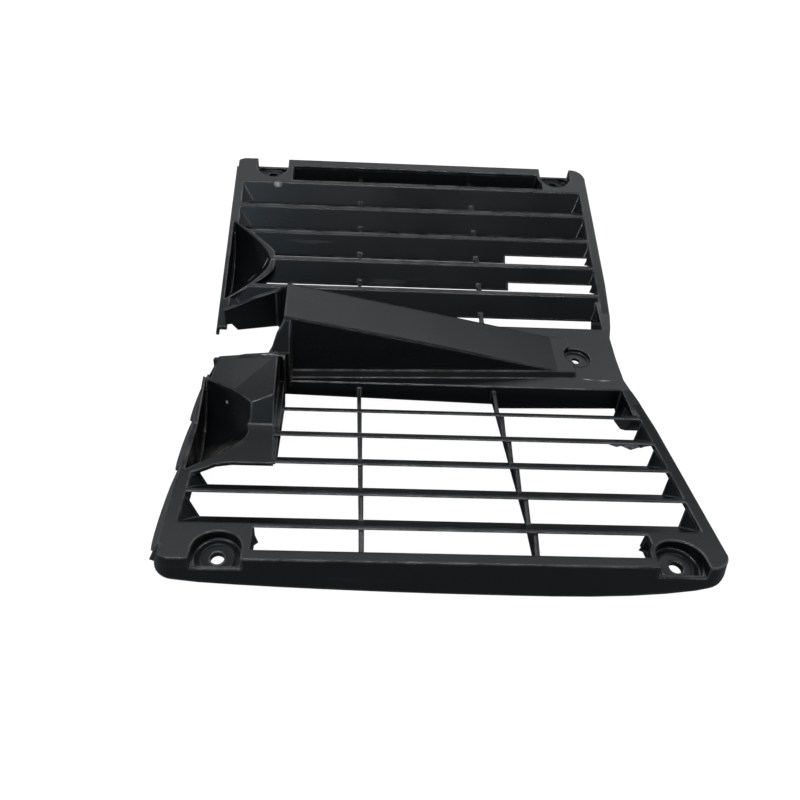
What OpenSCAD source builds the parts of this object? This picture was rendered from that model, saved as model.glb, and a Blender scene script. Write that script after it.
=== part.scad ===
// Motorcycle radiator guard, one injection moulding.
// Two louvred panels lean up from a solid middle bridge, which carries a sloping hood.
// X runs along the louvres, Y across them, Z up from the resting plane.
// Inside the modules X is counted from the first cross rib; the finished part is centred in the end.

/* [Overall] */
// Distance from the middle line to the outer edge of each side rim
half_w = 200; // [190:1:215]
// Distance from the first cross rib to the right edge
right_l = 189.5; // [178:0.5:200]
// Distance from the first cross rib to the left edge
left_l = 103.5; // [100:0.5:110]
// Height of the side rims above the resting plane
rim_h = 59.6; // [56:0.1:66]
// Lean of each louvred panel, in degrees
tilt = 12.7; // [11:0.1:15]
// Corner radius at the right end
corner_r = 11; // [8:0.5:20]

/* [Walls] */
// Thickness of the moulded walls
wall = 2.5; // [2:0.1:3.2]
// Width of the side and right rims, seen from above
rim_w = 7; // [3:0.1:8]
// Width of the left rim, seen from above
left_rim_w = 7.1; // [5:0.1:9]
// Draft of the side skirts, in degrees
skirt_draft = 8; // [2:0.5:12]
// Depth of the side skirts at their deepest
skirt_d = 22.2; // [18:0.1:26]
// Depth of the side skirts at their left end
skirt_left_d = 13.3; // [8:0.1:16]
// Depth of the right edge under the panel
right_d = 3.5; // [3:0.5:8]
// Flare of the left wall beside the block, in degrees
left_flare = 26; // [20:0.5:30]
// Flare of the left wall on the other side, in degrees
far_flare = 11; // [8:0.5:20]
// Flare of the outer corner next to the left wall, in degrees
corner_flare = 20; // [10:0.5:24]
// Corner radius at the left end
left_corner_r = 10; // [6:0.5:14]
// How far the right edge is drawn in at the bridge
waist = 6; // [3:0.5:8]
// Depth of the left wall between its lobes
lobe_root = 5; // [4:0.5:10]
// Depth of the left wall's outer lobe under the panel
lobe_d = 22; // [16:0.5:24]

/* [Louvres] */
// Number of slats in each panel
slat_count = 5; // [4:1:5]
// Spacing of the slats, measured along the panel
slat_pitch = 28.15; // [26:0.05:29]
// Distance from the side rim to the outermost slat, along the panel
slat_first = 16.8; // [14:0.05:20]
// Thickness of a slat
slat_t = 2.3; // [1.8:0.1:3]
// Width of a slat
slat_w = 19.1; // [15:0.1:21]
// Lean of a slat from the horizontal, in degrees
slat_lean = 45; // [40:1:52]
// Thickness of a cross rib
rib_t = 2.6; // [2:0.1:3.5]
// Distance between the two cross ribs
rib_gap = 92.2; // [80:0.1:100]
// How far the bays' right ends lean inward
end_in_right = 6.5; // [3:0.5:9]
// How far the outer bay's right end leans inward
outer_in_right = 3.5; // [2:0.1:9]
// How far the outer bay's left end leans inward
outer_in_left = 2.5; // [2:0.1:9]
// How far the bays' left ends lean inward
end_in_left = 9.8; // [4:0.5:12]
// Depth of the cut-outs in the lower edge of two far slats
nick_d = 5.4; // [3:0.1:7]
// Length of those cut-outs
nick_l = 61; // [50:0.5:72]
// Distance from the right edge to those cut-outs
nick_right = 9.5; // [8:0.5:20]

/* [Screw pockets] */
// Distance from the left edge to the left pockets
pocket_in_left = 29.8; // [26:0.1:34]
// Distance from the right edge to the right pockets
pocket_in_right = 25.2; // [20:0.1:30]
// Distance from the side edges to the pockets
pocket_in = 7.5; // [5:0.1:10]
// Diameter of a pocket
pocket_d = 25.7; // [22:0.1:28]
// Depth of a pocket's floor under the rim
pocket_depth = 10; // [9:0.5:14]
// Diameter of the raised seat
seat_d = 18; // [14:0.5:20]
// Height of the raised seat
seat_h = 1.2; // [0.6:0.1:2]
// Diameter of a screw hole
hole_d = 7.3; // [6:0.1:8.5]
// Width of the flat corner at the left, from the outer edge
corner_left_w = 46.9; // [42:0.1:56]
// Width of the flat corner at the right, from the outer edge
corner_right_w = 37.3; // [34:0.1:42]

/* [Bridge] */
// Half width of the bridge at its floor
bridge_half = 32.3; // [28:0.1:36]
// Height of the bridge floor
bridge_h = 24.8; // [20:0.1:28]
// Outward draft of the bridge walls, in degrees
bridge_draft = 8; // [2:0.5:10]
// Height of the bridge walls' lower edge at the left blocks
wall_low_left = 14; // [10:0.5:18]
// Height of the bridge walls' lower edge at the second rib
wall_low_rib = 10; // [7:0.5:13]
// How far the lower edge steps down to the right of the second rib
bridge_step = 3.5; // [1:0.5:6]
// Half width of the feet at the right end
foot_half = 38; // [35:1:46]

/* [Hood] */
// Half width of the hood's flat top
hood_half = 18.2; // [15:0.1:20]
// Height of the hood's top at its left end
hood_h = 69.4; // [62:0.1:74]
// Distance from the first cross rib to the hood's left end
hood_left = 50.5; // [46:0.5:56]
// How much steeper the hood gets per millimetre
hood_bend = 0.0001; // [0:0.00005:0.0003]
// Radius along the hood's top edges
hood_edge_r = 2; // [1:0.1:3]
// Height of the sloping strip along the hood's foot
hood_strip = 3.3; // [2:0.1:5]
// Distance from the right edge to where the hood meets the floor
hood_end = 39.5; // [34:0.5:50]
// Draft of the hood's sides, in degrees
hood_draft = 9.2; // [3:0.1:12]
// Diameter of the recess round the middle screw hole
recess_d = 19; // [16:0.5:22]
// Depth of that recess under the bridge floor
recess_depth = 3; // [2:0.5:5]
// Diameter of the raised seat in the recess
mid_seat_d = 13; // [10:0.5:15]
// Diameter of the middle screw hole
mid_hole_d = 6; // [5:0.1:7]
// Distance from the right edge to the middle screw hole
mid_hole_in = 34.9; // [30:0.1:40]

/* [Left blocks] */
// Half width of the notch at its open end
notch_open = 25; // [20:0.5:28]
// Half width of the notch at the hood
notch_in = 33; // [28:0.5:36]
// Distance from the first cross rib to the block's right face
block_left = 54; // [50:0.5:60]
// Height of the block's top at the hood
block_h = 51; // [46:0.1:54]
// Height of the block's top at the left edge
block_low = 37.5; // [30:0.1:40]
// Fall of the block's top towards its outer fold
block_fall = 5; // [0:0.1:7]
// Half width at the block's outer fold
block_fold = 66.6; // [62:0.1:74]
// Half width at the block's foot
block_foot = 83; // [80:0.5:92]
// Height of the notch walls' lower edge
notch_low = 18.5; // [14:0.5:22]
// Half width of the middle of the scoop
scoop_y = 90; // [84:0.5:96]
// Radius of the scoop at the left edge
scoop_r = 44.5; // [36:0.5:48]
// Length of the scoop from the left rim
scoop_l = 32; // [26:0.5:36]
// Height of the scoop's axis above the panel
scoop_up = 19.5; // [14:0.5:24]

/* [Hidden] */
$fn = 64;
eps = 0.05;
far_out = 400;
rim_y = half_w - rim_w;
rib_xs = [0, rib_gap];
inner_right = right_l - rim_w;
inner_left = left_l - left_rim_w;
blade_run = slat_w * cos(slat_lean);
blade_fall = slat_w * sin(slat_lean);
blade_flat = slat_t / sin(slat_lean);
corner_out = 1.07;
mid_x = (right_l + corner_out - left_l - lobe_d * sin(left_flare)) / 2;
pocket_xs = [pocket_in_left - left_l, right_l - pocket_in_right];
pocket_y = half_w - pocket_in;
mid_hole_x = right_l - mid_hole_in;
hood_right = right_l - hood_end;
hood_l = hood_left + hood_right;
nick_to = right_l - nick_right;
nick_from = nick_to - nick_l;
lip = 1.3;
moulding = [0.17, 0.19, 0.20];

// Height of the panel's surface at a distance y from the middle line
function plane_z(y) = rim_h - (rim_y - y) * tan(tilt);
// Height of the hood's top at x
function hood_z(x) =
    hood_h - (x + hood_left) * ((hood_h - bridge_h) / hood_l + hood_bend * (x + hood_left - hood_l));
// Distance from the middle line of slat k's top edge, counted from the side rim
function slat_y(k) = rim_y - (slat_first + k * slat_pitch) * cos(tilt);
function arc(cx, cy, r, a0, a1, n = 8) =
    [for (i = [0 : n]) [cx + r * cos(a0 + (a1 - a0) * i / n), cy + r * sin(a0 + (a1 - a0) * i / n)]];
// A dome-shaped lobe from s0 to s1 that hangs d deep
function lobe(s0, s1, d, n = 12) =
    [for (i = [0 : n]) [s0 + (s1 - s0) * i / n, -lobe_root - (d - lobe_root) * pow(sin(180 * i / n), 0.4)]];

// Turns a profile drawn as [y, z] into a bar along X from x0 to x1
module along_x(x0, x1) {
    translate([x0, 0, 0])
        rotate([90, 0, 90])
            linear_extrude(x1 - x0)
                children();
}

// Turns a profile drawn as [x, z] into a slab from y0 to y1
module along_y(y0, y1) {
    translate([0, y1, 0])
        rotate([90, 0, 0])
            linear_extrude(y1 - y0)
                children();
}

// Places children in the panel's own frame, at the outer rim's inner edge
module on_panel() {
    translate([0, rim_y, rim_h])
        rotate([tilt, 0, 0])
            children();
}

// Slab that follows the panel from top to bottom, measured upright
module band(top, bottom) {
    along_x(-left_l - 40, right_l + 20)
        polygon([
            [0, plane_z(0) + top], [half_w + 20, plane_z(half_w + 20) + top],
            [half_w + 20, plane_z(half_w + 20) + bottom], [0, plane_z(0) + bottom]
        ]);
}

// Everything to the right of a plane in the middle of the flared left wall
module right_of_flare(flare) {
    on_panel()
        translate([-left_l + wall / 2, 0, 0])
            rotate([0, flare, 0])
                translate([0, -far_out, -far_out / 2])
                    cube([far_out, 2 * far_out, far_out]);
}

// Plan outline of one panel, open to the bridge, drawn inset from the outer edge
module outline(inset) {
    r = corner_r - inset;
    polygon(concat(
        [[right_l - inset, 0]],
        arc(right_l - corner_r, half_w - corner_r, r, 0, 90),
        arc(left_corner_r - 2 - left_l, half_w - left_corner_r, left_corner_r - inset, 90, 180),
        [[inset - left_l - 6, 0]]
    ));
}

// Openings of the louvred field, seen from above
module field_plan() {
    top = slat_y(0) - blade_flat;
    translate([-inner_left, 0])
        square([inner_left + inner_right, top]);
    translate([-left_l + corner_left_w, 0])
        square([left_l - corner_left_w + right_l - corner_right_w, rim_y]);
    translate([-left_l - 40, -1])
        square([left_l + 40 - block_left, notch_open + 1.6]);
}

// Rim and flat corners of one panel
module rim_plate(flare) {
    intersection() {
        band(0, -wall);
        right_of_flare(flare);
        linear_extrude(rim_h + 20)
            difference() {
                outline(0);
                field_plan();
            }
    }
}

// Upright ring under the outline, spread downwards by across along Y and by along along X
module skirt_ring(along, across) {
    translate([0, 0, rim_h])
        mirror([0, 0, 1])
            difference() {
                linear_extrude(rim_h, scale = [along, across], slices = 1)
                    outline(0);
                translate([0, 0, -1])
                    linear_extrude(rim_h + 2, scale = [along, across], slices = 1)
                        outline(rim_w);
            }
}

// Skirt round the side and the right end, with draft and a bowed lower edge
module skirt(flare) {
    spread = 1 + rim_h * tan(skirt_draft) / half_w;
    bow_x = right_l * 0.53;
    end_x = right_l + 5;
    top_z = rim_h + lip;
    left_z = rim_h - skirt_left_d;
    intersection() {
        band(0, -far_out);
        right_of_flare(flare);
        union() {
            intersection() {
                skirt_ring(spread, spread);
                along_y(half_w - corner_r, half_w + 40)
                    polygon(concat(
                        [[-left_l - 40, rim_h + 20], [-left_l - 40, left_z]],
                        [for (i = [0 : 10])
                            [-left_l + i / 10 * (left_l + bow_x),
                             left_z - (skirt_d - skirt_left_d) * pow(sin(9 * i), 0.6)]],
                        [for (i = [1 : 7])
                            [bow_x + (end_x - bow_x) * sin(90 * i / 7),
                             top_z - (skirt_d + lip) * pow(cos(90 * i / 7), 0.7)]],
                        [[right_l + 20, top_z], [right_l + 20, rim_h + 20]]
                    ));
            }
            intersection() {
                skirt_ring(1, spread);
                band(1, -right_d);
                translate([right_l - corner_r, 0, 0])
                    cube([corner_r + 20, half_w - corner_r + 1, rim_h + 20]);
            }
        }
    }
}

// Flared left wall, whose lower edge hangs in three lobes
module left_wall(flare) {
    s_in = -(rim_y - notch_open) / cos(tilt);
    s_out = (half_w - left_corner_r - rim_y) / cos(tilt);
    intersection() {
        on_panel()
            translate([-left_l, 0, 0])
                rotate([0, flare, 0])
                    rotate([90, 0, 90])
                        linear_extrude(wall)
                            polygon(concat(
                                [[s_in, 2], [s_out, 2], [s_out, -lobe_d * 0.55]],
                                lobe(s_in * 0.04, s_in * 0.42, lobe_d),
                                lobe(s_in * 0.44, s_in * 0.73, lobe_d * 0.88),
                                lobe(s_in * 0.75, s_in, lobe_d * 0.88)
                            ));
        band(0, -far_out);
    }
}

// One slat from x0 to x1, lying in the panel's pitch
module slat(k, x0, x1) {
    y = slat_y(k);
    z = plane_z(y);
    drop = blade_flat * tan(tilt);
    along_x(x0, x1)
        polygon([
            [y, z], [y - blade_run, z - blade_fall],
            [y - blade_run - blade_flat, z - blade_fall], [y - blade_flat, z - drop]
        ]);
}

// Cut-out in the lower edge of slat k, near its right end, with sloping ends
module nick(k) {
    y = slat_y(k) - blade_run;
    z = plane_z(slat_y(k)) - blade_fall;
    translate([0, y, z])
        rotate([slat_lean, 0, 0])
            along_y(-slat_t - 4, 4)
                polygon([
                    [nick_from - nick_d, -1], [nick_from - nick_d, 0], [nick_from, nick_d],
                    [nick_to, nick_d], [nick_to + nick_d, 0], [nick_to + nick_d, -1]
                ]);
}

// Cross rib: a saw-toothed web through all the slats
module rib(x) {
    ys = [for (k = [slat_count - 1 : -1 : 0]) slat_y(k)];
    low = [for (y = ys) [y - blade_run - blade_flat, plane_z(y) - blade_fall]];
    along_x(x - rib_t / 2, x + rib_t / 2)
        union() {
            for (i = [0 : slat_count - 2])
                polygon([
                    [ys[i] - blade_flat / 2, plane_z(ys[i]) - 1], [ys[i + 1] - blade_run, low[i + 1][1] + 3],
                    low[i + 1], low[i]
                ]);
            polygon([
                [bridge_half, bridge_h - 4], [ys[0] - blade_run, low[0][1] + 3], low[0],
                [bridge_half, low[0][1] - (low[0][0] - bridge_half) * tan(tilt)]
            ]);
            polygon([
                [ys[slat_count - 1] - blade_flat / 2, plane_z(ys[slat_count - 1]) - 1],
                [rim_y + 1, rim_h - blade_fall + 3],
                [rim_y + 1, rim_h - blade_fall], low[slat_count - 1]
            ]);
        }
}

// Sloping end of a bay: a wedge that leans from the wall at x, by lean, along X
// Its corners lie bite deep inside the wall and the slats that it joins
module bay_end(x, lean, y_in, y_out) {
    bite = 0.4;
    y_top = y_out - 1;
    y_low = y_top - blade_run;
    z_low = plane_z(y_out) - blade_fall + bite;
    back = x - 1.3 * sign(lean);
    faces = [[0, 2, 1], [0, 1, 3], [1, 2, 3], [0, 3, 2]];
    polyhedron(
        points = [
            [back, y_in - 1, plane_z(y_in - 1) - bite], [back, y_top, plane_z(y_top) - bite],
            [back, y_low, z_low], [x + lean, y_low, z_low]
        ],
        faces = lean > 0 ? faces : [for (f = faces) [f[2], f[1], f[0]]]
    );
}

// Teeth under the right rim that back the sloping ends of the bays
module right_teeth() {
    along_x(inner_right + 0.5, right_l - 1)
        for (k = [0 : slat_count - 1]) {
            y_in = slat_y(k) - slat_pitch * cos(tilt);
            low = [slat_y(k) - blade_run, plane_z(slat_y(k)) - blade_fall + 1];
            polygon([[y_in, plane_z(y_in) - 1], low, [slat_y(k) - 2, plane_z(slat_y(k)) - 1]]);
        }
}

// Sloping ends of all bays; on the near panel the block closes the inner bays' left ends
module bay_ends(left_first) {
    for (k = [0 : slat_count - 1]) {
        y_in = k == slat_count - 1 ? slat_y(k) - slat_pitch * cos(tilt) : slat_y(k + 1);
        bay_end(inner_right, -end_in_right, y_in, slat_y(k));
        if (k < left_first)
            bay_end(-inner_left, end_in_left, y_in, slat_y(k));
    }
    bay_end(right_l - corner_right_w, -outer_in_right, slat_y(0), rim_y + 1);
    bay_end(corner_left_w - left_l, outer_in_left, slat_y(0), rim_y + 1);
}

// Walls that close the louvred field under the rim and the flat corners
module field_walls(flare) {
    depth = blade_fall - 1;
    outer_right = right_l - corner_right_w;
    outer_left = left_l - corner_left_w;
    intersection() {
        band(0, -depth);
        right_of_flare(flare);
        union() {
            translate([outer_right, slat_y(0) - blade_flat, 0])
                cube([wall, half_w - slat_y(0), rim_h]);
            translate([-outer_left - wall, slat_y(0) - blade_flat, 0])
                cube([wall, half_w - slat_y(0), rim_h]);
            translate([-inner_left - wall, scoop_y + 30, 0])
                cube([wall, slat_y(0) - scoop_y - 30, rim_h]);
        }
    }
}

// Screw pocket at x: an upright cup with a raised seat, open at the top
module pocket_cup(x) {
    intersection() {
        translate([x, pocket_y, rim_h - pocket_depth - wall])
            cylinder(d = pocket_d + 2 * wall, h = pocket_depth + wall);
        band(0, -far_out);
        translate([-far_out, 0, 0])
            cube([2 * far_out, half_w + 1, rim_h + 20]);
    }
}

// Hollow of the pocket at x, with its screw hole and the dip in the side rim
module pocket_cut(x) {
    floor_z = rim_h - pocket_depth;
    intersection() {
        translate([x, pocket_y, 0])
            difference() {
                translate([0, 0, floor_z])
                    cylinder(d = pocket_d, h = far_out);
                translate([0, 0, floor_z - 1])
                    cylinder(d = seat_d, h = seat_h + 1);
            }
        translate([-far_out, 0, 0])
            cube([2 * far_out, half_w - 1, far_out]);
    }
    translate([x, pocket_y, floor_z - wall - 1])
        cylinder(d = hole_d, h = far_out);
    translate([x - pocket_d / 2, pocket_y, rim_h - pocket_depth + 3.8])
        cube([pocket_d, 30, far_out]);
}

// Notch side wall, rising to the hood
module notch_wall() {
    run = inner_left - block_left - 3;
    turn = atan((notch_in - notch_open) / run);
    translate([-inner_left - 1, notch_open, 0])
        rotate([0, 0, turn])
            along_y(0, wall)
                polygon([
                    [0, notch_low + 6], [0, block_low], [10, block_low + 3], [22, block_low + 8],
                    [run + 2, block_h], [run + 10, block_h], [run + 10, notch_low], [9, notch_low],
                    [5, notch_low + 6]
                ]);
}

// Scoop: a half cone that runs in from the left rim
module scoop_cone(grow) {
    on_panel()
        translate([-left_l + 3 - grow, -(rim_y - scoop_y) / cos(tilt), scoop_up])
            rotate([0, 90, 0])
                cylinder(r1 = scoop_r + grow, r2 = scoop_up + grow, h = scoop_l + 2 * grow, $fn = 96);
}

// Skin of the scoop, kept under the panel's surface and inside whatever form is passed in
module scoop_shell() {
    intersection() {
        scoop_cone(wall);
        union() {
            band(-0.3, -30);
            children();
        }
        translate([1 - left_l, notch_open + 4, 0])
            cube([left_l - block_left, 110, rim_h]);
    }
}

// Raised block beside the notch, a hollow cap over the ends of the inner bays
module block_form(inset) {
    x0 = -left_l + inset;
    x1 = -block_left - inset;
    low = notch_low + 4;
    z0 = block_low - inset;
    z1 = block_h - inset;
    foot_z = plane_z(block_foot) - inset;
    hull()
        polyhedron(points = [
            [x0, notch_open + inset, low], [x1, notch_in + inset, low], [x1, block_foot - inset, low],
            [x0, block_foot - inset, low], [x0, notch_open + inset, z0], [x1, notch_in + inset, z1],
            [x1, block_fold - inset, z1 - block_fall], [x0, block_fold - inset, z0 - block_fall],
            [x1, block_foot - inset, foot_z], [x0, block_foot - inset, foot_z]
        ], faces = [
            [0, 1, 5, 4], [4, 5, 6, 7], [7, 6, 8, 9], [9, 8, 2, 3], [0, 3, 2, 1], [1, 2, 8, 6, 5],
            [0, 4, 7, 9, 3]
        ]);
}

module block() {
    intersection() {
        difference() {
            block_form(0);
            translate([0, 0, -1])
                block_form(wall);
        }
        right_of_flare(left_flare);
    }
}

// Flat plate from the block's foot to the middle slat, rounded towards the left wall
module block_plate() {
    edge = slat_y(2);
    intersection() {
        band(0, -wall);
        right_of_flare(left_flare);
        linear_extrude(rim_h)
            polygon([
                [-left_l - 10, block_foot - 4], [-block_left, block_foot - 4], [3 - block_left, edge],
                [-75, edge], [-84, edge + 2], [-89.5, edge + 6], [-inner_left, edge + 10],
                [-left_l - 10, edge + 10]
            ]);
    }
    along_x(-block_left - wall, 4 - block_left)
        polygon([
            [bridge_half, notch_low + 4], [bridge_half, bridge_h + 3], [block_foot, plane_z(block_foot) - 1],
            [edge, plane_z(edge) - 1], [edge - blade_run, plane_z(edge) - blade_fall],
            [bridge_half + 8, plane_z(bridge_half) - blade_fall]
        ]);
}

// Plate that closes the inner bays' left ends from below, on the side with no block
module back_plate() {
    intersection() {
        band(-blade_fall, -blade_fall - 2);
        translate([-inner_left - 2, notch_in + 14, 0])
            cube([inner_left - 70, slat_y(2) - notch_in - 14, rim_h]);
    }
}

// Floor and side walls of the bridge, a channel open below
module bridge() {
    foot = bridge_half + bridge_h * tan(bridge_draft);
    difference() {
        intersection() {
            along_x(-block_left - 2, right_l)
                polygon([
                    [-bridge_half, bridge_h], [bridge_half, bridge_h], [foot, 0], [foot - wall, 0],
                    [bridge_half - wall, bridge_h - wall], [wall - bridge_half, bridge_h - wall],
                    [wall - foot, 0], [-foot, 0]
                ]);
            along_y(-far_out, far_out)
                polygon([
                    [-far_out, wall_low_left], [-block_left, wall_low_left], [rib_gap, wall_low_rib],
                    [rib_gap + 5, wall_low_rib - bridge_step], [inner_right - 4, wall_low_rib - 1],
                    [inner_right, 0], [far_out, 0], [far_out, far_out], [-far_out, far_out]
                ]);
        }
        hood_form(wall, wall + 1);
    }
    translate([right_l - waist - wall, -bridge_half, bridge_h - 10])
        cube([wall, 2 * bridge_half, 10]);
}

// Foot under the right end of one panel
module right_foot() {
    along_x(inner_right - wall, right_l)
        polygon([
            [bridge_half, bridge_h], [bridge_half + 2, 0], [foot_half, 0], [foot_half + 12, 5],
            [foot_half + 19, 11], [foot_half + 22, 18], [foot_half + 22, plane_z(foot_half + 22) - 1]
        ]);
}

// Rounded cross-section of the hood at x, drawn as [y, z], inset by a wall for its inside
module hood_section(x, inset, foot_z) {
    top = max(hood_z(x) - inset, foot_z + 0.5);
    w = hood_half - inset;
    r = min(hood_edge_r, (top - foot_z) / 2);
    spread = (top - foot_z) * tan(hood_draft);
    polygon(concat(
        [[-w - spread, foot_z], [w + spread, foot_z]],
        arc(w - r, top - r, r, 0, 90, 4),
        arc(r - w, top - r, r, 90, 180, 4)
    ));
}

// Solid form of the hood, with drafted sides
module hood_form(inset, drop = 0) {
    hull()
        for (x = [inset - hood_left, (hood_right - hood_left) / 2, hood_right - inset])
            along_x(x, x + eps)
                hood_section(x, inset, bridge_h - drop);
}

// Sloping strip where the hood's sides meet the bridge floor
module hood_foot() {
    hull()
        for (x = [-hood_left, hood_right]) {
            spread = (max(hood_z(x), bridge_h) - bridge_h) * tan(hood_draft);
            w = hood_half + spread;
            along_x(x, x + eps)
                polygon([
                    [-w - hood_strip, bridge_h - 1], [w + hood_strip, bridge_h - 1],
                    [w + hood_strip, bridge_h], [w, bridge_h + hood_strip], [-w, bridge_h + hood_strip],
                    [-w - hood_strip, bridge_h]
                ]);
        }
}

// Webs that spread from the hood's left end to the inner corners of the notch
module hood_flare() {
    for (side = [0, 1])
        mirror([0, side, 0])
            intersection() {
                linear_extrude(hood_h)
                    polygon([
                        [-hood_left, hood_half - 2], [-hood_left - 1.5, hood_half + 2],
                        [-hood_left - 4.5, hood_half + 6], [-hood_left - 7.5, hood_half + 12],
                        [-hood_left - 10, notch_in], [4 - hood_left, notch_in],
                        [4 - hood_left, hood_half - 2]
                    ]);
                along_x(-far_out, 0)
                    polygon([
                        [hood_half - 2, hood_h - 2], [hood_half + 1, hood_h - 4],
                        [hood_half + 6, hood_h - 8.5],
                        [hood_half + 12, hood_h - 16], [notch_in, block_h - 1], [notch_in, notch_low],
                        [hood_half - 2, notch_low]
                    ]);
            }
}

module hood() {
    floor_z = bridge_h - recess_depth;
    difference() {
        union() {
            hood_form(0);
            hood_foot();
            hood_flare();
            translate([mid_hole_x, 0, floor_z - wall])
                cylinder(d = recess_d + 2 * wall, h = recess_depth + wall);
        }
        difference() {
            hood_form(wall, wall + 1);
            translate([mid_hole_x, 0, 0])
                cylinder(d = recess_d + 2 * wall, h = far_out);
        }
        translate([mid_hole_x, 0, floor_z])
            cylinder(d = recess_d, h = far_out);
    }
    translate([mid_hole_x, 0, floor_z - eps])
        difference() {
            cylinder(d = mid_seat_d, h = 0.8);
            cylinder(d = mid_hole_d, h = 4);
        }
}

// Space to the right of the edge, which is drawn in at the bridge
module waist_cut() {
    x = right_l - waist;
    linear_extrude(rim_h)
        polygon([
            [x - 0.5, 0], [x, bridge_half - 10], [x + waist * 0.5, bridge_half + 2],
            [x + waist * 0.8, bridge_half + 14], [right_l, bridge_half + 45],
            [right_l + 9, bridge_half + 45], [right_l + 9, -bridge_half - 45], [right_l, -bridge_half - 45],
            [x + waist * 0.8, -bridge_half - 14], [x + waist * 0.5, -bridge_half - 2], [x, 10 - bridge_half]
        ]);
}

// One louvred panel; the one with the block has its inner bays closed at the left
module guard_panel(has_block) {
    left_first = has_block ? 2 : slat_count;
    flare = has_block ? left_flare : far_flare;
    difference() {
        union() {
            rim_plate(flare);
            skirt(min(flare, corner_flare));
            left_wall(flare);
            field_walls(flare);
            right_teeth();
            right_foot();
            for (k = [0 : slat_count - 1])
                slat(k, k < left_first ? -inner_left - 1 : -block_left, inner_right + 1);
            for (x = rib_xs)
                rib(x);
            bay_ends(left_first);
            notch_wall();
            for (x = pocket_xs)
                pocket_cup(x);
            if (has_block) {
                scoop_shell()
                    block_form(0);
                block();
                block_plate();
            } else {
                scoop_shell();
                back_plate();
            }
        }
        scoop_cone(0);
        for (x = pocket_xs)
            pocket_cut(x);
    }
}

module radiator_guard() {
    color(moulding)
        translate([-mid_x, 0, 0])
            difference() {
                union() {
                    difference() {
                        guard_panel(false);
                        nick(slat_count - 2);
                        nick(slat_count - 3);
                    }
                    mirror([0, 1, 0])
                        guard_panel(true);
                    bridge();
                    hood();
                }
                translate([mid_hole_x, 0, bridge_h - recess_depth - wall - 1])
                    cylinder(d = mid_hole_d, h = 12);
                waist_cut();
            }
}

radiator_guard();
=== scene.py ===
# %% [markdown]
# # A moulded radiator guard, dressed for a studio picture
#
# The real part is one black injection moulding. Its shape is finished in the solid model,
# so this scene adds what the solid can't hold: the satin skin of the plastic, the fine
# rounding of every edge, the rubbed corners and light scratches, a few painted highlights on
# edges and marks, and the studio light. It also opens one recess that the solid leaves
# covered, and adds a few torn nibs of flash.

# %% Load the moulding as a fixed frame
import math

import bpy
from mathutils import Matrix, Vector


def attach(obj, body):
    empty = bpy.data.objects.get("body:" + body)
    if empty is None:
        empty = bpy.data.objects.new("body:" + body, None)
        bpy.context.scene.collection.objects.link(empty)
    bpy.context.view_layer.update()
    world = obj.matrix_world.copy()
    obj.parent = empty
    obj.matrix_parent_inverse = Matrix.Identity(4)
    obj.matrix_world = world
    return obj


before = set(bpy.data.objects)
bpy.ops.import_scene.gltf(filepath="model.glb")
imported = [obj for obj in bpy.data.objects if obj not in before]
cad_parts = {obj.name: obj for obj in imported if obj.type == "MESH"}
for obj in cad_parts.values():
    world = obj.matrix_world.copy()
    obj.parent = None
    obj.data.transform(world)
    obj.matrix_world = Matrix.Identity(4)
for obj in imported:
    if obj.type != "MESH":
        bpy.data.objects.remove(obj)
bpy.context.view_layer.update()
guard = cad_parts["radiator_guard"]
print("moulding loaded:", len(guard.data.polygons), "faces")

# %% [markdown]
# ## The satin black plastic
#
# Polypropylene for outdoor trim is coloured through with carbon black, so the colour itself
# is almost black. What the eye reads as grey is the soft mirror image of the studio on the
# skin. So the base colour stays very dark, and the roughness decides the look: near 0.3
# the light wall behind the part becomes an even sheen on every top face.
#
# The material is built in nodes, so a few helpers come first. They keep each later step
# down to the one idea that it adds.


# %% Small helpers for wiring nodes
def add_node(tree, kind, **settings):
    """Adds a node and sets its properties, or its input sockets by name."""
    node = tree.nodes.new(kind)
    for name, value in settings.items():
        if hasattr(node, name):
            setattr(node, name, value)
        else:
            node.inputs[name.replace("_", " ")].default_value = value
    return node


def ramp(tree, source, low, high, out_low=0.0, out_high=1.0):
    """Maps a value from low..high to out_low..out_high and clamps it."""
    node = tree.nodes.new("ShaderNodeMapRange")
    node.inputs["From Min"].default_value = low
    node.inputs["From Max"].default_value = high
    node.inputs["To Min"].default_value = out_low
    node.inputs["To Max"].default_value = out_high
    tree.links.new(source, node.inputs["Value"])
    return node.outputs["Result"]


def math_node(tree, operation, first, second):
    """Joins two values, each a socket or a number."""
    node = tree.nodes.new("ShaderNodeMath")
    node.operation = operation
    for index, value in enumerate((first, second)):
        if isinstance(value, (int, float)):
            node.inputs[index].default_value = value
        else:
            tree.links.new(value, node.inputs[index])
    return node.outputs["Value"]


print("helpers ready")

# %% Start the plastic with its skin coordinates
plastic_ior = 1.49
plastic = bpy.data.materials.new("satin_black_plastic")
plastic.use_nodes = True
skin = plastic.node_tree
skin.nodes.clear()
place = add_node(skin, "ShaderNodeTexCoord").outputs["Object"]
shader = add_node(skin, "ShaderNodeBsdfPrincipled")
output = add_node(skin, "ShaderNodeOutputMaterial")
skin.links.new(shader.outputs["BSDF"], output.inputs["Surface"])
shader.inputs["IOR"].default_value = plastic_ior
print("material started:", plastic.name)

# %% [markdown]
# ## Cloudiness, grain and scratches
#
# A used moulding is never even. Large soft clouds change the gloss where hands and cloths
# have polished it, a fine grain breaks up the mirror image, and hair scratches run mostly
# along the part because that is how it slides on a bench. Each one is a noise of its own
# scale, and the hair scratches are a noise stretched about eight times along X.


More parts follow.
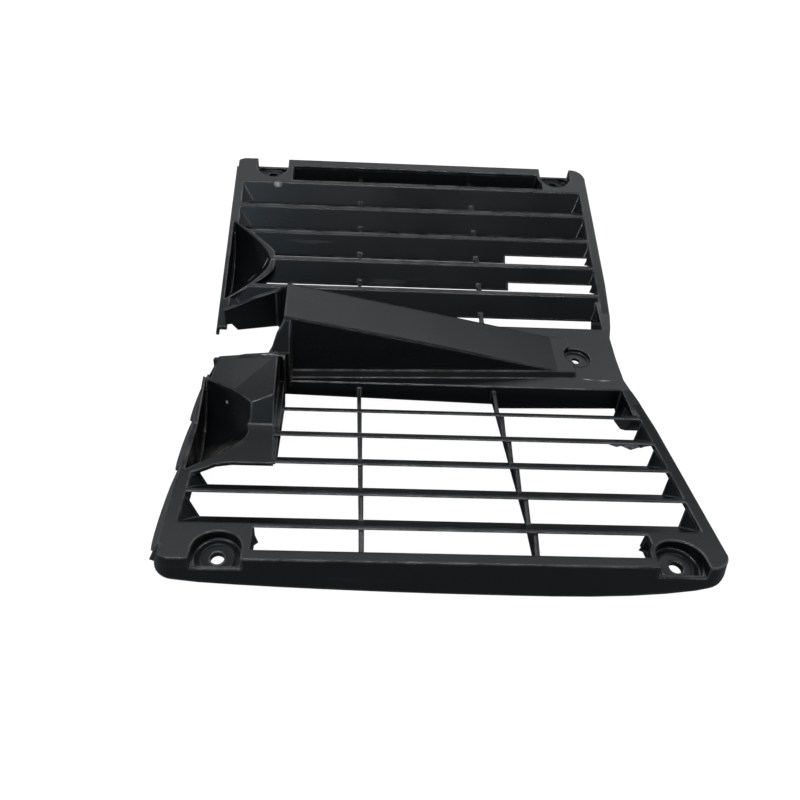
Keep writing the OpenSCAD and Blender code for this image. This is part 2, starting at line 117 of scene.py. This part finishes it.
# %% Clouds of polish and fine grain
def noise(scale, detail=2.0, stretch=(1.0, 1.0, 1.0)):
    """Noise in the part's own coordinates, with stretch set as (x, y, z) factors."""
    mapping = add_node(skin, "ShaderNodeMapping")
    mapping.inputs["Scale"].default_value = stretch
    skin.links.new(place, mapping.inputs["Vector"])
    texture = add_node(skin, "ShaderNodeTexNoise")
    texture.inputs["Scale"].default_value = scale
    texture.inputs["Detail"].default_value = detail
    skin.links.new(mapping.outputs["Vector"], texture.inputs["Vector"])
    return texture.outputs["Fac"]


clouds = noise(14.0, 3.0)
grain = noise(1400.0, 2.0)
hairs = noise(95.0, 4.0, stretch=(0.12, 1.0, 1.0))
hair_scratches = ramp(skin, hairs, 0.655, 0.70)
print("noises: clouds, grain, hairs")

# %% [markdown]
# ## Rounded edges
#
# No moulded edge is sharp, and the thin bright line along it is what makes a black part
# readable. The edges could be rounded by cutting new faces, but in a louvred grille with
# many thin walls those faces soon cross. A Bevel node only bends the shading normal near an
# edge, which is cheaper and safe. Where its normal and the true one disagree there is an
# edge, so the same node also says where the skin is polished and where it is painted pale
# grey, which stands for rubbed wear and is also a painted highlight line.

# %% Find the edges, wear them and paint a highlight line on them
edge_radius = 0.0020
bevel = add_node(skin, "ShaderNodeBevel", samples=8)
bevel.inputs["Radius"].default_value = edge_radius
geometry = add_node(skin, "ShaderNodeNewGeometry")
meeting = add_node(skin, "ShaderNodeVectorMath", operation="DOT_PRODUCT")
skin.links.new(bevel.outputs["Normal"], meeting.inputs[0])
skin.links.new(geometry.outputs["Normal"], meeting.inputs[1])
agreement = meeting.outputs["Value"]
on_edge = ramp(skin, agreement, 0.998, 0.94)
uneven_wear_and_highlight = ramp(skin, noise(60.0, 4.0), 0.40, 0.62, 0.25, 1.0)
# Pale edges: partly rubbed wear, partly a painted highlight line.
worn_and_highlit = math_node(skin, "MULTIPLY", on_edge, uneven_wear_and_highlight)
polished = ramp(skin, agreement, 0.999, 0.965)
print("edge rounding radius, mm:", round(edge_radius * 1000, 2))

# %% [markdown]
# ## Marks that belong to one place
#
# Not every mark is random. The crest under the near scoop is painted a pale beige, a painted
# highlight sits as a bright blob on a far louvre, a few short scratches lie near the hood,
# and two more painted highlights draw a bright squiggle at the hood's foot. Each is an
# ellipse in the part's own coordinates: a Mapping node of the texture kind moves it to the
# mark, turns it and divides by its size, so the ellipse becomes a unit ball.


# %% Masks for single marks
def patch(centre, size, turn=0.0, soft=0.5):
    """A mask: 1 inside an ellipse, fading at its rim. Sizes in metres, turn in degrees."""
    mapping = add_node(skin, "ShaderNodeMapping", vector_type="TEXTURE")
    mapping.inputs["Location"].default_value = centre
    mapping.inputs["Rotation"].default_value = (0.0, 0.0, math.radians(turn))
    mapping.inputs["Scale"].default_value = size
    skin.links.new(place, mapping.inputs["Vector"])
    length = add_node(skin, "ShaderNodeVectorMath", operation="LENGTH")
    skin.links.new(mapping.outputs["Vector"], length.inputs[0])
    return ramp(skin, length.outputs["Value"], 1.0 - soft, 1.0, 1.0, 0.0)


def joined(masks):
    """The strongest of several masks."""
    total = masks[0]
    for mask in masks[1:]:
        total = math_node(skin, "MAXIMUM", total, mask)
    return total


print("mask helpers ready")

# %% Beige patches, painted highlights and single scratches
ragged = ramp(skin, noise(420.0, 4.0, stretch=(0.5, 1.0, 1.0)), 0.40, 0.60, 0.25, 1.0)
# Two pale beige patches on the crest under the near scoop.
beige_patches = [
    patch((-0.124, -0.099, 0.026), (0.026, 0.010, 0.020), -24.0, 0.9),
    patch((-0.137, -0.112, 0.036), (0.012, 0.012, 0.016), -40.0, 0.9),
]
# Short real scratches, with painted highlights among them.
scratches_and_highlights = [
    patch((-0.112, 0.0900, 0.0330), (0.0006, 0.0062, 0.005), -28.0),
    patch((-0.1222, 0.0826, 0.0243), (0.0052, 0.0006, 0.004), 32.0),
    # A painted highlight: the bright blob on a far louvre.
    patch((-0.1071, 0.1722, 0.0540), (0.0042, 0.0030, 0.004), 10.0, 0.8),
    patch((-0.0990, -0.0345, 0.0495), (0.0060, 0.0010, 0.004), -14.0),
    patch((-0.0880, -0.0370, 0.0510), (0.0042, 0.0007, 0.004), 20.0),
    # These two are painted highlights: a bright squiggle at the hood's foot.
    patch((0.1203, -0.0226, 0.0248), (0.0050, 0.0006, 0.002), -8.0),
    patch((0.1307, -0.0232, 0.0248), (0.0058, 0.0007, 0.002), 4.0),
    patch((-0.1239, -0.0621, 0.0330), (0.0007, 0.0016, 0.002), 35.0),
    patch((-0.1380, -0.0687, 0.0235), (0.0014, 0.0007, 0.002), 0.0),
]
beige_mask = math_node(skin, "MULTIPLY", joined(beige_patches), ragged)
scored_and_highlit = math_node(skin, "MULTIPLY", joined(scratches_and_highlights), ragged)
print("local marks:", len(beige_patches), "scuffs,", len(scratches_and_highlights), "scratches")

# %% [markdown]
# ## Colour from the masks
#
# The colours are laid over each other: black skin first, then pale grey edges, which are
# rubbed wear and a painted highlight line in one, then the pale beige patches, and last the
# whitish scratches and painted highlights. One Mix node for each layer keeps them apart, so
# that any of them can be changed alone.

# %% Lay the colours over each other
black_skin = (0.0062, 0.0074, 0.0082, 1.0)
# The edge grey stands for rubbed wear and is also a painted highlight line.
worn_and_highlight_grey = (0.160, 0.165, 0.165, 1.0)
# Pale beige for the patches on the scoop crest.
crest_beige = (0.150, 0.140, 0.122, 1.0)
# Whitish for the scratches and for the painted highlights.
scratch_and_highlight_white = (0.55, 0.56, 0.56, 1.0)
hair_strength = 0.07


def lay_over(under, over, mask):
    """Shows the colour over where the mask is 1; under is a colour or a socket."""
    mix = add_node(skin, "ShaderNodeMix", data_type="RGBA")
    if isinstance(under, tuple):
        mix.inputs["A"].default_value = under
    else:
        skin.links.new(under, mix.inputs["A"])
    mix.inputs["B"].default_value = over
    skin.links.new(mask, mix.inputs["Factor"])
    return mix.outputs["Result"]


faint_hairs = math_node(skin, "MULTIPLY", hair_scratches, hair_strength)
colour = lay_over(black_skin, worn_and_highlight_grey, math_node(skin, "MAXIMUM", worn_and_highlit, faint_hairs))
colour = lay_over(colour, crest_beige, beige_mask)
colour = lay_over(colour, scratch_and_highlight_white, scored_and_highlit)
skin.links.new(colour, shader.inputs["Base Color"])
print("colour layers: rubbed edges, scuffs, scratches")

# %% [markdown]
# ## Gloss and grain
#
# The clouds move the roughness a little, scratches and the beige patches add to it, and the
# polish on the edges takes some away, so that a lamp draws a crisp line there. The grain is a
# very low bump on top of the rounded normal: stronger, and the plastic would look cast.

# %% Roughness, bump and the finished skin
added_by_scratches, taken_by_polish = 0.10, 0.12
rough = ramp(skin, clouds, 0.35, 0.68, 0.25, 0.33)
dull = math_node(skin, "MULTIPLY", joined([hair_scratches, beige_mask]), added_by_scratches)
rough = math_node(skin, "ADD", rough, dull)
bright = math_node(skin, "MULTIPLY", polished, taken_by_polish)
rough = math_node(skin, "SUBTRACT", rough, bright)
skin.links.new(rough, shader.inputs["Roughness"])
bump = add_node(skin, "ShaderNodeBump")
bump.inputs["Strength"].default_value = 0.05
bump.inputs["Distance"].default_value = 0.0002
skin.links.new(grain, bump.inputs["Height"])
skin.links.new(bevel.outputs["Normal"], bump.inputs["Normal"])
skin.links.new(bump.outputs["Normal"], shader.inputs["Normal"])
for slot in guard.material_slots:
    slot.material = plastic
print("plastic on", len(guard.material_slots), "slot")

# %% [markdown]
# ## The sunk seat round the middle screw
#
# On the real part the middle screw sits in a shallow round recess. In the solid the bridge
# floor lies over it, and a ring-shaped gap stays closed in below. The floor is opened here
# with a Boolean modifier. A modifier is the right tool, because the solid's own mesh has to
# stay as it is, and the cutter is only a hidden cylinder that can be moved or resized later.
# A Boolean drops the imported normals, so an Edge Split after it keeps flat faces flat.

# %% Open the recess
seat_x, floor_top = 0.11589, 0.0248
recess_radius, recess_floor, cutter_depth = 0.0095, 0.02185, 0.010
crisp_angle = math.radians(30.0)
bpy.ops.mesh.primitive_cylinder_add(
    vertices=96, radius=recess_radius, depth=cutter_depth,
    location=(seat_x, 0.0, recess_floor + cutter_depth / 2))
cutter = bpy.context.active_object
cutter.name = "recess_cutter"
cutter.hide_render = True
cutter.hide_viewport = True
opening = guard.modifiers.new("open the recess", "BOOLEAN")
opening.operation = "DIFFERENCE"
opening.solver = "EXACT"
opening.object = cutter
crisp = guard.modifiers.new("keep the edges crisp", "EDGE_SPLIT")
crisp.split_angle = crisp_angle
print("recess opened, mm:", round((floor_top - recess_floor) * 1000, 2), "deep")

# %% [markdown]
# ## Moulding flash
#
# The guard's edges weren't trimmed everywhere: a few torn nibs of flash still hang on them.
# Each is a low wedge with an uneven ridge, and its base is sunk into the edge that it grew
# from. They are plain meshes, because a torn nib has no shape that a modifier would make.


# %% One nib of flash
def nib(root, length, height, lean):
    """Corners and faces of a nib that grows towards -Y; lean shifts its ridge along X."""
    x, y, z = root
    sunk = 0.0006
    base = [(x - length, y - sunk, z), (x + length, y - sunk, z),
            (x + length, y + sunk, z), (x - length, y + sunk, z)]
    ridge = [(x + lean - length * 0.3, y - height, z - height * 0.4),
             (x + lean + length * 0.4, y - height * 0.7, z)]
    faces = [(0, 3, 2, 1), (0, 1, 5, 4), (1, 2, 5), (2, 3, 4, 5), (3, 0, 4)]
    return base + ridge, faces


def add_mesh(name, parts):
    """One object from several lists of corners and faces."""
    corners, faces = [], []
    for part_corners, part_faces in parts:
        start = len(corners)
        corners += part_corners
        faces += [tuple(start + index for index in face) for face in part_faces]
    mesh = bpy.data.meshes.new(name)
    mesh.from_pydata(corners, [], faces)
    mesh.materials.append(plastic)
    piece = bpy.data.objects.new(name, mesh)
    bpy.context.scene.collection.objects.link(piece)
    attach(piece, "root")


print("nib helper ready")

# %% Nibs on the right rim and under a near louvre
nibs = [
    nib((0.1483, -0.0790, 0.0334), 0.0022, 0.0016, 0.0006),
    nib((0.1483, 0.0870, 0.0352), 0.0018, 0.0014, -0.0005),
    nib((0.1290, -0.0938, 0.0371), 0.0075, 0.0034, 0.0018),
    nib((0.1375, -0.0938, 0.0371), 0.0050, 0.0021, -0.0012),
    nib((0.1205, -0.0938, 0.0371), 0.0050, 0.0018, 0.0010),
]
add_mesh("moulding_flash", nibs)
print("nibs:", len(nibs))

# %% [markdown]
# ## A pale floor that stays white
#
# The part stands on a plain white sweep. Seen by the camera the sweep gives mostly its own
# even white, with enough plain paint mixed in for the part's soft shadow to show. All other
# rays meet a darker paint, or else black plastic would mirror it and look grey underneath.

# %% Floor and its two-faced paper
own_white, own_white_share = 1.30, 0.76
paint_for_light, paint_for_camera = 0.24, 0.60
bpy.ops.mesh.primitive_plane_add(size=8.0, location=(0.0, 0.0, 0.0))
floor = bpy.context.active_object
floor.name = "floor"
paper = bpy.data.materials.new("white_paper")
paper.use_nodes = True
sheet = paper.node_tree
sheet.nodes.clear()
paint = add_node(sheet, "ShaderNodeBsdfDiffuse")
white = add_node(sheet, "ShaderNodeEmission", Strength=own_white)
by_camera = add_node(sheet, "ShaderNodeLightPath").outputs["Is Camera Ray"]
share = math_node(sheet, "MULTIPLY", by_camera, own_white_share)
paleness = ramp(sheet, by_camera, 0.0, 1.0, paint_for_light, paint_for_camera)
sheet.links.new(paleness, paint.inputs["Color"])
blend = add_node(sheet, "ShaderNodeMixShader")
sheet.links.new(share, blend.inputs["Fac"])
sheet.links.new(paint.outputs["BSDF"], blend.inputs[1])
sheet.links.new(white.outputs["Emission"], blend.inputs[2])
sheet_output = add_node(sheet, "ShaderNodeOutputMaterial")
sheet.links.new(blend.outputs["Shader"], sheet_output.inputs["Surface"])
floor.data.materials.append(paper)
print("floor laid at z = 0")

# %% [markdown]
# ## Studio light
#
# Black plastic is lit by what it mirrors. A wide light wall stands behind the part, where
# the top faces look, so they turn an even dark grey. The front stays dim, so upright faces
# go almost black. Three narrow strips, high above, high behind and low in front, are mirrored
# mostly in rounded edges, where they draw the thin bright lines, and a cool panel at the left
# gives the louvres there their bluish cast.

# %% Lamps
lamp_target = Vector((0.0, 0.0, 0.04))


def soft_lamp(name, position, width, height, glow, colour=(1.0, 1.0, 1.0), overhead=False):
    """A rectangular lamp aimed at the part, or straight down if overhead. Glow 1 is white."""
    data = bpy.data.lights.new(name, "AREA")
    data.shape = "RECTANGLE"
    data.size = width
    data.size_y = height
    data.energy = glow * math.pi * width * height
    data.color = colour
    lamp = bpy.data.objects.new(name, data)
    lamp.location = position
    if not overhead:
        aim = lamp_target - Vector(position)
        lamp.rotation_euler = aim.to_track_quat("-Z", "Y").to_euler()
    bpy.context.scene.collection.objects.link(lamp)


soft_lamp("light_wall", (0.17, 1.14, 1.19), 2.74, 0.84, 0.98, colour=(0.93, 0.99, 1.0))
soft_lamp("high_lamp", (-0.05, 0.0, 1.4), 1.1, 0.06, 30.0, overhead=True)
soft_lamp("edge_strip", (0.0, 0.90, 1.18), 1.9, 0.06, 2.5)
soft_lamp("low_strip", (0.0, -1.25, 0.46), 1.6, 0.03, 18.0)
soft_lamp("cool_panel", (-0.50, -0.38, 0.98), 0.36, 0.50, 2.0, colour=(0.59, 0.80, 1.0))

# %% [markdown]
# ## The air round the part
#
# A bright world would fill every dark louvre with grey. So the world is white only for the
# camera, which sees a clean background, and dim for all light that reaches the part.

# %% World: white behind the part, dim elsewhere
dim_level = 0.10
world = bpy.data.worlds.new("studio_air")
world.use_nodes = True
air = world.node_tree
air.nodes.clear()
dim = add_node(air, "ShaderNodeBackground", Strength=dim_level)
dim.inputs["Color"].default_value = (0.95, 0.98, 1.0, 1.0)
clear = add_node(air, "ShaderNodeBackground", Strength=1.0)
clear.inputs["Color"].default_value = (1.0, 1.0, 1.0, 1.0)
path = add_node(air, "ShaderNodeLightPath")
choice = add_node(air, "ShaderNodeMixShader")
air.links.new(path.outputs["Is Camera Ray"], choice.inputs["Fac"])
air.links.new(dim.outputs["Background"], choice.inputs[1])
air.links.new(clear.outputs["Background"], choice.inputs[2])
air_output = add_node(air, "ShaderNodeOutputWorld")
air.links.new(choice.outputs["Shader"], air_output.inputs["Surface"])
bpy.context.scene.world = world
bpy.context.scene.view_settings.view_transform = "Standard"
print("world ready:", world.name)

# %% [markdown]
# ## Camera
#
# The view was worked out from the photograph: the pairs of matching points on the two
# panels fix where the lens was. It looks down at about 46 degrees from close by, which is
# why the near panel looks so much wider than the far one.

# %% Place the camera
camera_spot = (-0.05292, -0.42382, 0.39659)
pitch_down, yaw_right, roll = math.radians(46.11), math.radians(2.993), math.radians(3.682)
turn = Matrix.Rotation(-yaw_right, 4, "Z") @ Matrix.Rotation(math.pi / 2 - pitch_down, 4, "X")
turn = turn @ Matrix.Rotation(roll, 4, "Z")
camera_data = bpy.data.cameras.new("camera")
camera_data.sensor_width = 36.0
camera_data.lens = 35.86
camera_data.shift_x = 0.042
camera_data.shift_y = 0.0246
camera_data.clip_start = 0.01
camera = bpy.data.objects.new("camera", camera_data)
camera.matrix_world = Matrix.Translation(camera_spot) @ turn
bpy.context.scene.collection.objects.link(camera)
bpy.context.scene.camera = camera
print("camera height, m:", round(camera.matrix_world.translation.z, 3))
